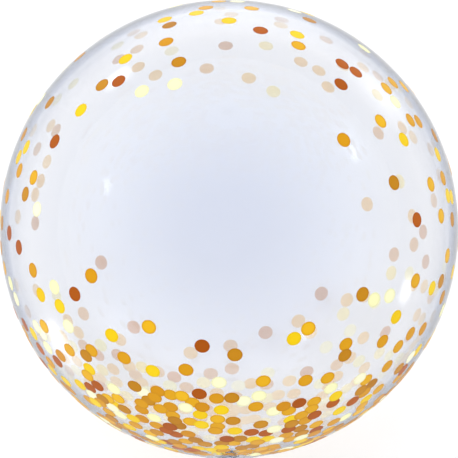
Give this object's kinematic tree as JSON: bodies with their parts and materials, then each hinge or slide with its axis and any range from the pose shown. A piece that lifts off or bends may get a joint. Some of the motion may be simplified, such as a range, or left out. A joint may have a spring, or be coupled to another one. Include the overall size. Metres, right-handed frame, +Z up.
{
  "type": "clear bubble balloon",
  "caption": "Clear round film balloon with a gathered, knotted neck and a flat film tail, lying on a small flat spot with its neck level.",
  "frame": {"origin": "middle of the small flat spot on the back of the globe, which the balloon rests on", "axes": "+Z up, out of the printed front that faces up when the balloon lies on its back; the knotted neck points along -Y and the crown along +Y"},
  "size_m": [0.61, 0.702, 0.605],
  "materials": {
    "clear_film": "clear, glossy, faintly blue",
    "yellow_ink": "gloss print, bright gold yellow",
    "amber_ink": "gloss print, amber",
    "ochre_ink": "gloss print, ochre",
    "copper_ink": "gloss print, copper brown",
    "cream_ink": "gloss print, pale cream"
  },
  "bodies": {
    "root": {"balloon_film": "clear_film"}
  },
  "joints": []
}
